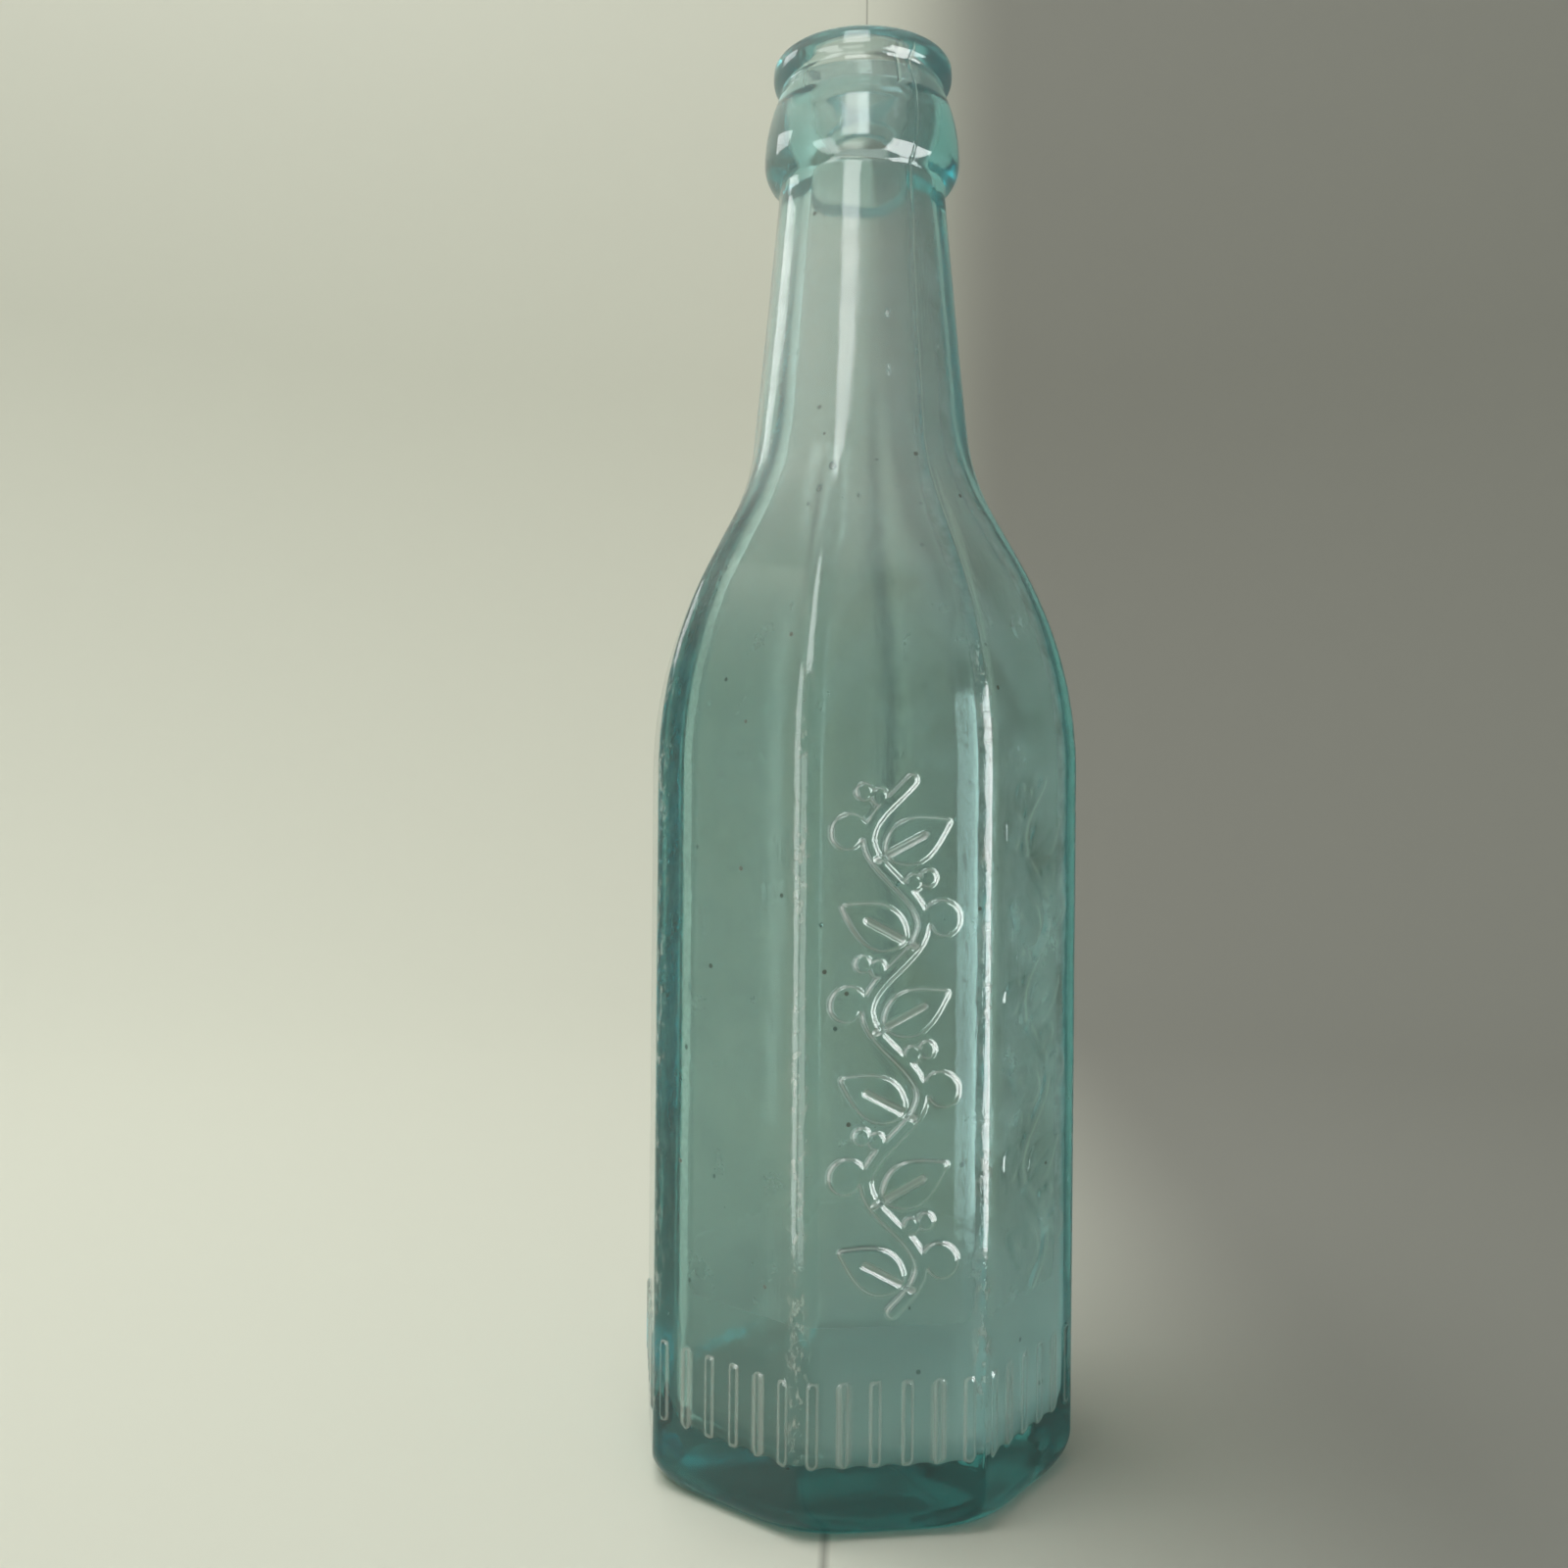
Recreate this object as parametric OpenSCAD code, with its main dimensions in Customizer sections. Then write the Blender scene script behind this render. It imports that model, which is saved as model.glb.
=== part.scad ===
// Eight-sided soda bottle of pressed and blown glass, with a crown finish.
// Millimetres, standing upright: +Z runs from the base to the mouth, and the
// origin is the middle of the resting ring. Flat panels face X and Y.

/* [Body] */
// Width across two opposite flat panels of the body
body_flats_w = 59.7; // [54:0.1:66]
// Height at which the upright panels end and the shoulder starts to lean in
body_h = 98; // [80:1:120]
// Radius of the shoulder's outward curve, seen from the side
shoulder_r = 66; // [50:1:80]
// Steepest lean of the shoulder, in degrees from upright
shoulder_lean = 27; // [22:0.5:34]
// Depth by which the sharp vertical corners are rounded off
corner_soft = 0.6; // [0.3:0.05:1.2]

/* [Neck] */
// Width across flats where the neck would meet the shoulder without its curve
neck_root_w = 31.7; // [28:0.1:36]
// Length of the neck, from that meeting to the foot of the collar
neck_len = 43; // [34:0.1:60]
// Lean of the neck's panels, in degrees from upright
neck_lean = 5.1; // [3:0.1:6]
// Radius of the hollow curve between neck and shoulder
neck_curve_r = 32; // [20:1:36]

/* [Collar] */
// Largest diameter of the bulging collar
collar_d = 28.9; // [28:0.1:32]
// Height of the collar below its largest diameter
collar_low_h = 4; // [3:0.1:6]
// Height of the collar above its largest diameter
collar_up_h = 10.3; // [7:0.1:12]

/* [Lip] */
// Diameter of the lip bead that a crown cap grips
lip_d = 26.5; // [26:0.1:27.5]
// Height of the lip bead
lip_h = 3.9; // [3.5:0.1:6]
// Height of the lip's straight band
lip_band_h = 1; // [0.8:0.1:1.6]
// Rounding between the band and the top of the lip
lip_round = 1.2; // [0.6:0.1:1.6]
// Diameter at the bottom of the groove under the lip
groove_d = 23.9; // [23:0.1:25]
// Height of the groove's bottom
groove_h = 0.5; // [0.3:0.1:1]
// Rounding between the top of the lip and the mouth
mouth_round = 1.1; // [0.5:0.1:1.5]

/* [Heel and base] */
// Radius of the rounded heel under each flat panel
heel_r = 3; // [1.5:0.1:5]
// Radius of the rounded heel under each corner, which makes the base rounder
heel_corner_r = 5.4; // [3:0.1:8]
// Angle through which the heel turns in before it meets the table
heel_turn = 60; // [40:1:75]
// Diameter of the hollow pressed up into the base
pushup_d = 42; // [30:1:48]
// Depth of that hollow
pushup_h = 2.5; // [1:0.1:4]

/* [Glass] */
// Diameter of the mouth and of the straight bore under it
bore_d = 15.5; // [14:0.1:17]
// Length of the straight bore, from the top of the lip
bore_len = 19.5; // [12:0.5:24]
// Thickness of the body's panels
wall = 3.3; // [2:0.1:4.5]
// Thickness of the base at the resting ring
base_t = 7; // [5:0.1:12]
// Rise of the inside floor from its edge to its middle
floor_rise = 3; // [1:0.1:5]
// Radius of the inside corner between wall and floor
inner_heel_r = 6; // [4:0.1:8]
// Depth by which the inside corners are rounded off
inner_soft = 1; // [0.6:0.05:2]

/* [Hidden] */

// Overrun of every cut, and depth by which the neck is buried in the collar
overrun = 1;
// Step by which the collar's foot stands out past the corners of the neck
foot_step = 0.1;
// Step by which the creases of the corners lie above those of the panels, so
// that no four faces meet in one point
crease_step = 0.1;
// Number of straight steps along each curve
shoulder_steps = 6;
neck_steps = 5;
heel_steps = 4;
bead_steps = 4;
// Facets of a full turn in the preview
$fn = 96;

quarter = 90;
sides = 8;
side_turn = 360 / sides;
// Ratio of corner radius to flat radius in a regular figure of this many sides
corner_share = 1 / cos(side_turn / 2);
glass_colour = [0.56, 0.68, 0.63, 0.55];

body_flat_r = body_flats_w / 2;
neck_root_r = neck_root_w / 2;

// The shoulder's outward curve ends at its steepest lean, where a straight
// stretch takes over. That stretch meets the neck's line at the neck's root.
shoulder_mid = [body_flat_r - shoulder_r, body_h];
lean_out = [cos(shoulder_lean), sin(shoulder_lean)];
neck_out = [cos(neck_lean), sin(neck_lean)];
shoulder_reach = shoulder_mid * lean_out + shoulder_r;
neck_root_h = (shoulder_reach - neck_root_r * lean_out.x) / lean_out.y;
neck_reach = [neck_root_r, neck_root_h] * neck_out;

// The neck's hollow curve touches both lines, so its centre is the radius
// away from each.
curve_lean = shoulder_reach + neck_curve_r;
curve_neck = neck_reach + neck_curve_r;
lines_cross = cross(lean_out, neck_out);
neck_curve_mid = [
    (curve_lean * neck_out.y - curve_neck * lean_out.y) / lines_cross,
    (curve_neck * lean_out.x - curve_lean * neck_out.x) / lines_cross
];

collar_foot_h = neck_root_h + neck_len;
collar_foot_flat_r = neck_root_r - neck_len * tan(neck_lean);
collar_foot_r = collar_foot_flat_r * corner_share - corner_soft + foot_step;
collar_wide_h = collar_foot_h + collar_low_h;
groove_low_h = collar_wide_h + collar_up_h;
lip_low_h = groove_low_h + groove_h;
bottle_h = lip_low_h + lip_h;
bore_r = bore_d / 2;
bore_low_h = bottle_h - bore_len;

function at(mid, r, a) = mid + r * [cos(a), sin(a)];

// Points of an arc in the order in which it is drawn
function arc(mid, r, from, to, steps) =
    [for (i = [0:steps]) at(mid, r, from + (to - from) * i / steps)];

// Radius of a circle that runs upright at one end and has moved in by a depth
// at the other, over a height
function bulge_r(depth, height) = (depth * depth + height * height) / (2 * depth);
function bulge_turn(depth, height) = 2 * atan(depth / height);

// Side outline of the panels above the heel, moved in by the glass thickness.
// Every curve keeps its centre, so the inset outline stays parallel.
function upper_outline(inset) = concat(
    arc(shoulder_mid, shoulder_r - inset, 0, shoulder_lean, shoulder_steps),
    arc(neck_curve_mid, -neck_curve_r - inset, shoulder_lean, neck_lean, neck_steps)
);

// Rounded lower edge that ends upright at a given radius
function heel_outline(upright_r, low_h, r) =
    arc([upright_r - r, low_h + r * sin(heel_turn)], r, -heel_turn, 0, heel_steps);

// An outline measured at the corners, less the rounding of the corners
function at_corner(points, soft) =
    [for (p = points) [p.x * corner_share - soft, p.y + crease_step]];

// An outline closed along the bottle's axis
function to_axis(points) = concat(
    [[0, points[0].y]],
    points,
    [[0, points[len(points) - 1].y]]
);

// Two opposite panels: the outline and its mirror image, drawn across the bottle
module panel_pair(points) {
    rotate([quarter, 0, 0])
        linear_extrude(height = 2 * body_flats_w, center = true)
            polygon(concat(
                points,
                [for (i = [len(points) - 1:-1:0]) [-points[i].x, points[i].y]]
            ));
}

// Eight panels that lean and curve alike, with their corners rounded by a
// turned form. It is the outside of the glass and, moved in, the hollow.
module panelled_form(inset, soft, low_h, flat_low_r, corner_low_r, top) {
    upright_r = body_flat_r - inset;
    upper = concat(upper_outline(inset), [top]);
    intersection() {
        intersection_for (i = [0:sides / 2 - 1])
            rotate(i * side_turn)
                panel_pair(concat(heel_outline(upright_r, low_h, flat_low_r), upper));
        rotate_extrude()
            polygon(to_axis(concat(
                heel_outline(upright_r * corner_share - soft, low_h, corner_low_r),
                at_corner(upper, soft)
            )));
    }
}

// Collar: two curves that share its largest diameter, the lower one tighter
collar_r = collar_d / 2;
groove_r = groove_d / 2;
collar_low_r = bulge_r(collar_r - collar_foot_r, collar_low_h);
collar_up_r = bulge_r(collar_r - groove_r, collar_up_h);
collar_low_turn = bulge_turn(collar_r - collar_foot_r, collar_low_h);
collar_up_turn = bulge_turn(collar_r - groove_r, collar_up_h);

// Lip bead: a straight band between a rounded underside and a rounded top
lip_r = lip_d / 2;
bead_under_h = lip_h - lip_band_h - lip_round;
bead_under_r = bulge_r(lip_r - groove_r, bead_under_h);
bead_under_turn = bulge_turn(lip_r - groove_r, bead_under_h);

finish_outline = concat(
    arc([collar_r - collar_low_r, collar_wide_h], collar_low_r, -collar_low_turn, 0, bead_steps),
    arc([collar_r - collar_up_r, collar_wide_h], collar_up_r, 0, collar_up_turn, bead_steps),
    arc([lip_r - bead_under_r, lip_low_h + bead_under_h], bead_under_r, -bead_under_turn, 0, bead_steps),
    arc([lip_r - lip_round, bottle_h - lip_round], lip_round, 0, quarter, bead_steps)
);

module finish() {
    rotate_extrude() polygon(to_axis(finish_outline));
}

// Shallow hollow in the base, cut by a large sphere, that leaves the bottle
// standing on a flat ring
module pushup() {
    ball_r = bulge_r(pushup_h, pushup_d / 2);
    translate([0, 0, pushup_h - ball_r]) sphere(ball_r);
}

// Rise of the inside floor over that hollow
module floor_dome() {
    edge_r = body_flat_r - wall;
    ball_r = bulge_r(floor_rise, edge_r);
    translate([0, 0, base_t + floor_rise - ball_r]) sphere(ball_r);
}

// Round throat: a cone that opens from the bore at the neck's own lean, and
// then flares past the hollow's walls at the shoulder's height
module throat() {
    flare_r = neck_curve_r + wall;
    flare_top = [bore_r + (bore_low_h - neck_curve_mid.y) * tan(neck_lean), neck_curve_mid.y];
    flare_mid = flare_top + flare_r * neck_out;
    rotate_extrude()
        polygon(concat(
            [[0, 0], [flare_mid.x, 0]],
            arc(flare_mid, -flare_r, quarter, neck_lean, neck_steps),
            [[bore_r, bore_low_h], [0, bore_low_h]]
        ));
}

module hollow() {
    neck_wall = wall / neck_out.x;
    difference() {
        intersection() {
            panelled_form(
                wall, inner_soft, base_t, inner_heel_r, inner_heel_r * corner_share,
                [collar_foot_flat_r - neck_wall, collar_foot_h]
            );
            throat();
        }
        floor_dome();
    }
}

// Straight bore with a rounded edge at the top of the lip
module mouth() {
    translate([0, 0, bore_low_h - overrun])
        cylinder(r = bore_r, h = bore_len + 2 * overrun);
    rotate_extrude()
        polygon(concat(
            [[0, bottle_h + overrun], [0, bottle_h - mouth_round]],
            arc(
                [bore_r + mouth_round, bottle_h - mouth_round],
                mouth_round, 2 * quarter, quarter, bead_steps
            ),
            [[bore_r + mouth_round, bottle_h + overrun]]
        ));
}

module glass_bottle() {
    color(glass_colour)
        difference() {
            union() {
                panelled_form(
                    0, corner_soft, 0, heel_r, heel_corner_r,
                    [collar_foot_flat_r - overrun * tan(neck_lean), collar_foot_h + overrun]
                );
                finish();
            }
            hollow();
            mouth();
            pushup();
        }
}

glass_bottle();
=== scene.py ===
# %% [markdown]
# # An eight-sided bottle of aqua glass
#
# The bottle is one piece of glass. A gather was pressed and blown in a mould of
# two halves, so it has eight flat panels, a soft heel, a round neck ring and lip,
# and a fine seam where the halves met. This lesson makes the side outlines, the
# skin, what the mould pressed into it, the glass and its wear, the bubbles in the
# wall, and a small studio. Lengths are written in millimetres, and MM turns them
# to the metres that Blender works in.

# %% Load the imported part
import math

import bmesh
import bpy
import numpy as np
from mathutils import Matrix, Vector


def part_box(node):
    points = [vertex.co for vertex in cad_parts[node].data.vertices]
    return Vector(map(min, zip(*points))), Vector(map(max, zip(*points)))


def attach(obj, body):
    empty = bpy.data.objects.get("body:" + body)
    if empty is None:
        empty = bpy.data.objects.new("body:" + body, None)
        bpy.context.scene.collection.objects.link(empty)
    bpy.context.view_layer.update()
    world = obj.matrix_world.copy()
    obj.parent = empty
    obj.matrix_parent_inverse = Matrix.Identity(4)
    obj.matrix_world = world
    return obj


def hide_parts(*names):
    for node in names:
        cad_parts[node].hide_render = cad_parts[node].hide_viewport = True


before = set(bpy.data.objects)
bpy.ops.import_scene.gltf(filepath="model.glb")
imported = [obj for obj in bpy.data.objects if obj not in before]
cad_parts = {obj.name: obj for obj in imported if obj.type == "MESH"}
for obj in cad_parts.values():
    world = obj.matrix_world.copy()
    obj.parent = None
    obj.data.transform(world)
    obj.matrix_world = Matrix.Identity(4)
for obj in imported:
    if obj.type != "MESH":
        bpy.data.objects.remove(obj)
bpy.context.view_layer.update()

MM = 0.001
part_low, part_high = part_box("glass_bottle")
across_flats = (part_high[0] - part_low[0]) / MM
bottle_h = (part_high[2] - part_low[2]) / MM
print("part:", round(across_flats, 2), "mm across flats,", round(bottle_h, 2), "mm high")

# %% [markdown]
# ## The outlines
#
# Every level cut through this bottle is an octagon with rounded corners, and
# near the mouth the rounding grows until the cut is a circle. So two side
# outlines are enough: how far the panels are from the axis, and how far the
# corners are. Each point of an outline holds a height, a panel distance and a
# corner distance. The numbers repeat the part's own sizes, so the skin lies
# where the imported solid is. Only the corners are a little sharper, and the wall
# on the left is thicker.

# %% Sizes of the glass
SIDES = 8
HALF_SIDE = math.pi / SIDES
CORNER = 1 / math.cos(HALF_SIDE)

body_flat = across_flats / 2
body_top = 98.0
shoulder_r, shoulder_lean = 66.0, math.radians(27)
neck_root_r, neck_lean = 15.85, math.radians(5.1)
neck_curve_r = 32.0
neck_len = 43.0
corner_cut = 0.2           # what the rounding takes off a sharp corner of the body
neck_corner_cut = 0.7      # and of the neck, which is softer
CORNERS_SOFTEN = (125, 165)    # heights between which the one changes to the other
wall = 3.3
inner_corner_cut = 0.58
bore_r, bore_len = 7.75, 19.5
left_wall_share = 0.065    # how much closer to the axis the hollow's left side lies
WALL_EVENS_OUT = (110, 165)    # heights between which that difference fades
print("body panel", round(body_flat, 2), "mm from the axis")

# %% Side outline of the panels, by height
lean_at = (body_flat - shoulder_r, body_top)
reach = lean_at[0] * math.cos(shoulder_lean) + lean_at[1] * math.sin(shoulder_lean) + shoulder_r
neck_root_h = (reach - neck_root_r * math.cos(shoulder_lean)) / math.sin(shoulder_lean)
neck_top = neck_root_h + neck_len
bend = neck_curve_r * math.tan((shoulder_lean - neck_lean) / 2)
bend_low = neck_root_h - bend * math.cos(shoulder_lean)
bend_high = neck_root_h + bend * math.cos(neck_lean)
bend_mid = (neck_root_r - bend * math.sin(neck_lean) + neck_curve_r * math.cos(neck_lean),
            bend_high + neck_curve_r * math.sin(neck_lean))
arc_top = body_top + shoulder_r * math.sin(shoulder_lean)


def panel_out(z):
    """Distance of the outer panels from the axis, above the heel."""
    if z <= body_top:
        return body_flat
    if z <= arc_top:
        return lean_at[0] + math.sqrt(shoulder_r ** 2 - (z - body_top) ** 2)
    if z <= bend_low:
        return neck_root_r + (neck_root_h - z) * math.tan(shoulder_lean)
    if z <= bend_high:
        return bend_mid[0] - math.sqrt(neck_curve_r ** 2 - (z - bend_mid[1]) ** 2)
    return neck_root_r - (z - neck_root_h) * math.tan(neck_lean)


FINE = 0.05                # spacing at which outlines are measured and averaged


def lean(z):
    """Lean of the panels from upright, in radians."""
    return math.atan((panel_out(z - FINE) - panel_out(z + FINE)) / (2 * FINE))


def ease(x, low, high):
    """0 below low, 1 above high, with a soft change between them."""
    t = min(max((x - low) / (high - low), 0), 1)
    return t * t * (3 - 2 * t)


print("neck root at", round(neck_root_h, 1), "mm, foot of the collar at", round(neck_top, 1), "mm")

# %% Heel, collar and lip
heel_r, heel_corner_r, heel_turn = 3.0, 5.4, math.radians(60)
heel_mid = heel_r * math.sin(heel_turn)
heel_corner_mid = heel_corner_r * math.sin(heel_turn)
body_corner = body_flat * CORNER - corner_cut
collar_r, collar_low_h, collar_up_h = 14.45, 4.0, 10.3
lip_r, lip_band_h, lip_round = 13.25, 1.0, 1.2
groove_r, groove_h = 11.95, 0.5
mouth_round = 1.1
collar_wide = neck_top + collar_low_h
groove_low = collar_wide + collar_up_h
groove_high = groove_low + groove_h
band_low = bottle_h - lip_round - lip_band_h


def bulge(z, mid_z, r, depth, height):
    """A curve that is upright at mid_z and has moved in by depth at a height from it."""
    big = (depth ** 2 + height ** 2) / (2 * depth)
    return r - big + math.sqrt(max(big ** 2 - (z - mid_z) ** 2, 0))


def outer_point(z):
    """Panel and corner distance of the outside at a height above the base."""
    if z < heel_corner_mid:
        panel = body_flat
        if z < heel_mid:
            panel += math.sqrt(heel_r ** 2 - (heel_mid - z) ** 2) - heel_r
        corner = body_corner - heel_corner_r
        return panel, corner + math.sqrt(heel_corner_r ** 2 - (heel_corner_mid - z) ** 2)
    if z <= neck_top:
        panel = panel_out(z)
        cut = corner_cut + (neck_corner_cut - corner_cut) * ease(z, *CORNERS_SOFTEN)
        return panel, panel * CORNER - cut
    foot = outer_point(neck_top)[1]
    if z < collar_wide:
        r = bulge(z, collar_wide, collar_r, collar_r - foot, collar_low_h)
    elif z < groove_low:
        r = bulge(z, collar_wide, collar_r, collar_r - groove_r, collar_up_h)
    elif z < groove_high:
        r = groove_r
    elif z < band_low:
        r = bulge(z, band_low, lip_r, lip_r - groove_r, band_low - groove_high)
    elif z < bottle_h - lip_round:
        r = lip_r
    else:
        r = lip_r - lip_round + math.sqrt(max(lip_round ** 2 - (z - bottle_h + lip_round) ** 2, 0))
    return r, r


print("collar is widest at", round(collar_wide, 1), "mm, groove under the lip at", round(groove_low, 1), "mm")

# %% Outer outline, from the middle of the base up to the lip
STEP = 0.2                 # spacing of the first, dense outline
pushup_r, pushup_h = 21.0, 2.5     # the shallow hollow under the base
pushup_ball = (pushup_h ** 2 + pushup_r ** 2) / (2 * pushup_h)
JUST_ABOVE = 0.02          # the collar's foot is a step, and this is past it
outer = []
for r in np.arange(0, pushup_r, STEP):
    outer.append((pushup_h - pushup_ball + math.sqrt(pushup_ball ** 2 - r * r), r, r))
ring_panel, ring_corner = outer_point(0)
for t in np.linspace(0, 1, 30):
    panel, corner = (pushup_r + t * (edge - pushup_r) for edge in (ring_panel, ring_corner))
    outer.append((0, panel, corner))
for z in np.arange(STEP, neck_top, STEP):
    outer.append((z, *outer_point(z)))
for z in np.arange(neck_top + JUST_ABOVE, bottle_h, STEP / 2):
    outer.append((z, *outer_point(z)))
lip_top_r = lip_r - lip_round
mouth_r = bore_r + mouth_round
for r in np.arange(lip_top_r, mouth_r, -STEP):
    outer.append((bottle_h, r, r))
for a in np.linspace(0, math.pi / 2, 9):
    r = mouth_r - mouth_round * math.sin(a)
    outer.append((bottle_h - mouth_round * (1 - math.cos(a)), r, r))
JOIN_H = 196.0             # height in the bore at which the outer and inner skins are joined
for z in np.arange(bottle_h - mouth_round - STEP, JOIN_H, -STEP):
    outer.append((z, bore_r, bore_r))
print("outer outline:", len(outer), "points")

# %% Throat, hollow and floor
bore_low = bottle_h - bore_len
base_t, floor_rise, inner_heel_r = 7.0, 3.0, 6.0
THROAT_BLEND = 3.0         # over this length the round throat turns into the panelled hollow
flare_r = neck_curve_r + wall
inner_flat = body_flat - wall
floor_ball = (floor_rise ** 2 + inner_flat ** 2) / (2 * floor_rise)
inner_heel_mid = base_t + inner_heel_r * math.sin(heel_turn)


def throat(z):
    """Radius of the round way down from the bore. It opens like the neck and then flares."""
    if z >= bore_low:
        return bore_r
    cone_low = bend_mid[1] + flare_r * math.sin(neck_lean)
    if z >= cone_low:
        return bore_r + (bore_low - z) * math.tan(neck_lean)
    drop = cone_low - z
    start = bore_r + (bore_low - cone_low) * math.tan(neck_lean)
    return start + drop * math.tan(neck_lean) + drop ** 2 / (2 * flare_r)


def soft_min(a, b, width):
    """The smaller of two lengths, with a rounded change from one to the other."""
    h = min(max(0.5 + (b - a) / (2 * width), 0), 1)
    return b + (a - b) * h - width * h * (1 - h)


def inner_point(z):
    """Panel and corner distance of the hollow at a height above the floor."""
    panel = panel_out(z) - wall / math.cos(lean(z))
    corner = panel * CORNER - inner_corner_cut
    if z < inner_heel_mid:
        drop = math.sqrt(max(inner_heel_r ** 2 - (inner_heel_mid - z) ** 2, 0)) - inner_heel_r
        panel, corner = panel + drop, corner + drop
    round_r = throat(z)
    return soft_min(round_r, panel, THROAT_BLEND), soft_min(round_r, corner, THROAT_BLEND)


def floor_h(r):
    """Height of the domed floor at a distance from the axis."""
    return base_t + floor_rise - floor_ball + math.sqrt(floor_ball ** 2 - r * r)


MID_BODY = 60
mid_wall = outer_point(MID_BODY)[0] - inner_point(MID_BODY)[0]
print("wall at mid body", round(mid_wall, 2), "mm, floor at", round(floor_h(0), 1), "mm")

# %% Inner outline, from the bore down to the middle of the floor
FLOOR_TURNS = 0.7          # beyond this share of its radius, the round floor turns eight-sided
inner = []
z = JOIN_H - STEP
while z > base_t + 0.1 and floor_h(min(inner_point(z)[0], inner_flat)) < z:
    inner.append((z, *inner_point(z)))
    z -= STEP
edge_r = inner[-1][1]
edge_corner = inner[-1][2]
for t in np.linspace(1, 0, 120)[1:]:
    r = edge_r * t
    inner.append((floor_h(r), r, r + (edge_corner - edge_r) * ease(t, FLOOR_TURNS, 1)))
print("inner outline:", len(inner), "points")

# %% Soften and space the outlines
# Fire-polished glass has no sharp creases, so each outline is averaged over a
# few tenths of a millimetre before its rows are chosen.


def softened(points, width):
    """An outline averaged along its length with a bell curve of a given width."""
    p = np.array(points, float)
    s = np.concatenate([[0], np.cumsum(np.linalg.norm(np.diff(p[:, :2], axis=0), axis=1))])
    even = np.arange(0, s[-1], FINE)
    q = np.column_stack([np.interp(even, s, p[:, k]) for k in range(3)])
    reach_n = int(3 * width / FINE)
    bell = np.exp(-0.5 * (np.arange(-reach_n, reach_n + 1) * FINE / width) ** 2)
    bell /= bell.sum()
    ends = (2 * q[0] - q[1:reach_n + 1][::-1], 2 * q[-1] - q[-reach_n - 1:-1][::-1])
    long = np.vstack([ends[0], q, ends[1]])
    return np.column_stack([np.convolve(long[:, k], bell, "valid") for k in range(3)])


def spaced(points, spacing):
    """Rows picked from an even outline, as far apart as spacing(height, distance) says."""
    rows, at = [points[0]], 0.0
    while True:
        z, panel, _ = points[min(int(at / FINE), len(points) - 1)]
        at += spacing(z, panel)
        if at / FINE >= len(points) - 1:
            break
        rows.append(points[int(at / FINE)])
    rows.append(points[-1])
    return np.array(rows)


# Where the ornament lies: its lowest and highest point, and how far it reaches sideways
VINE_LOW, VINE_HIGH, VINE_REACH = 29.0, 97.0, 9.2


def outer_spacing(z, out):
    """Fine rows at the heel, collar and lip, wide ones under the base and up the walls."""
    if z < 5:
        return 0.6 if out > pushup_r - 2 else 1.6
    if z < neck_top - 2:
        return 2.4 if VINE_LOW < z < VINE_HIGH else 1.6
    return 0.45


def inner_spacing(z, out):
    """Fine rows where the floor meets the wall, wide ones elsewhere."""
    return 0.7 if z < 14 and out > 15 else 2.0


outer_rows = spaced(softened(outer, 0.35), outer_spacing)
inner_rows = spaced(softened(inner, 0.5), inner_spacing)
print("rows:", len(outer_rows), "outside,", len(inner_rows), "inside")

# %% [markdown]
# ## The skin
#
# The rows become rings of points. On a ring, each point lies where a ray from
# the axis meets the rounded octagon, so the columns run straight up the bottle
# and through the round lip without a twist. The columns crowd together at the
# corners, because the glass bends most there, and are coarse across the flats.

# %% Rings of points on a rounded octagon


def columns(steps, fan_start):
    """Angles round the bottle: even steps across each panel and a tight fan at each corner."""
    fan = list(np.linspace(fan_start, 22.5, 5))
    across = list(np.linspace(1 - fan_start, fan_start - 1, steps + 1))
    local = across + fan + [45 - f for f in fan[-2::-1]]
    return np.radians([a + 45 * side for side in range(SIDES) for a in local])


def ring(panel, corner, angles):
    """Distances from the axis to an octagon whose corners are rounded to the given distance."""
    fillet = min(max((panel * CORNER - corner) / (CORNER - 1), 0.05), panel)
    local = np.abs((angles + HALF_SIDE) % (2 * HALF_SIDE) - HALF_SIDE)
    mid = (panel - fillet) * CORNER
    off = HALF_SIDE - local
    arc = mid * np.cos(off) + np.sqrt(np.maximum(fillet ** 2 - (mid * np.sin(off)) ** 2, 0))
    flat = panel / np.cos(local)
    return np.where(panel * np.tan(local) <= (panel - fillet) * math.tan(HALF_SIDE), flat, arc)


outside_angles = columns(steps=8, fan_start=19.5)
inside_angles = columns(steps=5, fan_start=17.0)
print("columns:", len(outside_angles), "outside,", len(inside_angles), "inside")

# %% The skin, row by row
CORNER_REACH = math.radians(2.5)   # turn from a corner within which its edge is rubbed


def fill_strips(bm, rings):
    """Fills the strips between rings of vertices with squares."""
    n = len(rings[0])
    for low, high in zip(rings, rings[1:]):
        for i in range(n):
            bm.faces.new((low[i], low[(i + 1) % n], high[(i + 1) % n], high[i]))


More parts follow.
